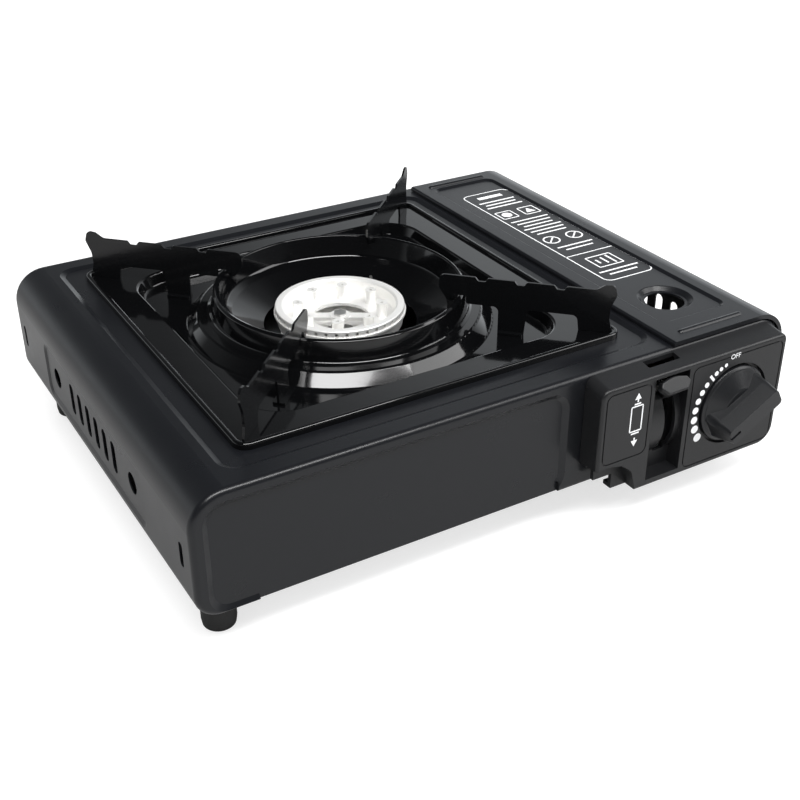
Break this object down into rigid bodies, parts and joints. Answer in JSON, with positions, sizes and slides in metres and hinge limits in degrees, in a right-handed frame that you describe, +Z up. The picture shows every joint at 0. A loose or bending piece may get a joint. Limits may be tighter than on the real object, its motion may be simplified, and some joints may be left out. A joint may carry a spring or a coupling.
{
  "type": "butane cassette stove",
  "caption": "Portable table stove with a black sheet casing, lift-off drip pan, ring burner, pan supports, hinged cartridge lid, lock lever and gas knob.",
  "frame": {"origin": "centre of the bounding box's base, on the plane the feet stand on", "axes": "+X to the cartridge side (right as the user sees it), +Y to the back, +Z up; the panel and knob face -Y"},
  "size_m": [0.34, 0.295, 0.1131],
  "materials": {
    "casing_paint": "satin black coat",
    "inner_steel": "plain bright sheet",
    "enamel": "glossy black vitreous coat",
    "support_coat": "semi-gloss black coat",
    "burner_silver": "bright cast",
    "zinc": "zinc plated",
    "brass": "plain",
    "panel_plastic": "fine grained black",
    "knob_plastic": "smooth satin black",
    "white_glaze": "glossy white glaze",
    "rubber": "matt black",
    "lead_sleeve": "red sleeve"
  },
  "bodies": {
    "stove": {"casing": "casing_paint", "bottom_plate": "inner_steel", "foot_front_left": "rubber", "foot_front_right": "rubber", "foot_rear_left": "rubber", "foot_rear_right": "rubber", "partition": "inner_steel", "cartridge_cradle": "inner_steel", "slide_channel": "zinc", "valve_plate": "inner_steel", "regulator_body": "zinc", "regulator_cover": "zinc", "gas_pipe": "brass", "nozzle": "brass", "nozzle_bracket": "zinc", "mixing_tube": "inner_steel", "burner_bracket": "zinc", "burner_base": "burner_silver", "burner_head": "burner_silver", "burner_screw": "zinc", "electrode": "zinc", "insulator": "white_glaze", "igniter_bracket": "zinc", "igniter_lead": "lead_sleeve", "spark_unit": "panel_plastic", "lid_hinge_pin": "zinc", "control_panel": "panel_plastic", "lever_bracket": "zinc"},
    "pan": {"drip_pan": "enamel", "pan_support_front_right": "support_coat", "pan_support_rear_right": "support_coat", "pan_support_rear_left": "support_coat", "pan_support_front_left": "support_coat"},
    "lid": {"lid": "casing_paint"},
    "knob": {"knob": "knob_plastic", "knob_spindle": "brass"},
    "lever": {"lever_shaft": "zinc", "lever_arm": "zinc", "lever_crank": "zinc", "lever_cap": "panel_plastic"},
    "pusher": {"pusher_slide": "zinc"}
  },
  "joints": [
    {"name": "pan_lift", "type": "slide", "parent": "stove", "child": "pan", "axis": [0, 0, 1], "range_m": [0, 0.03]},
    {"name": "lid_hinge", "type": "hinge", "parent": "stove", "child": "lid", "pos_m": [0.1679, 0.0155, 0.066], "axis": [0, 1, 0], "range_deg": [0, 95]},
    {"name": "knob_turn", "type": "hinge", "parent": "stove", "child": "knob", "pos_m": [0.1243, -0.1315, 0.0512], "axis": [0, -1, 0], "range_deg": [-113, 7]},
    {"name": "lever_pivot", "type": "hinge", "parent": "stove", "child": "lever", "pos_m": [0.083, -0.1005, 0.05], "axis": [1, 0, 0], "range_deg": [0, 70]},
    {"name": "pusher_travel", "type": "slide", "parent": "stove", "child": "pusher", "axis": [0, -1, 0], "range_m": [0, 0.006]}
  ],
  "couplings": [
    {"joint": "pusher_travel", "follows": "lever_pivot", "m_per_rad": 0.00491}
  ]
}
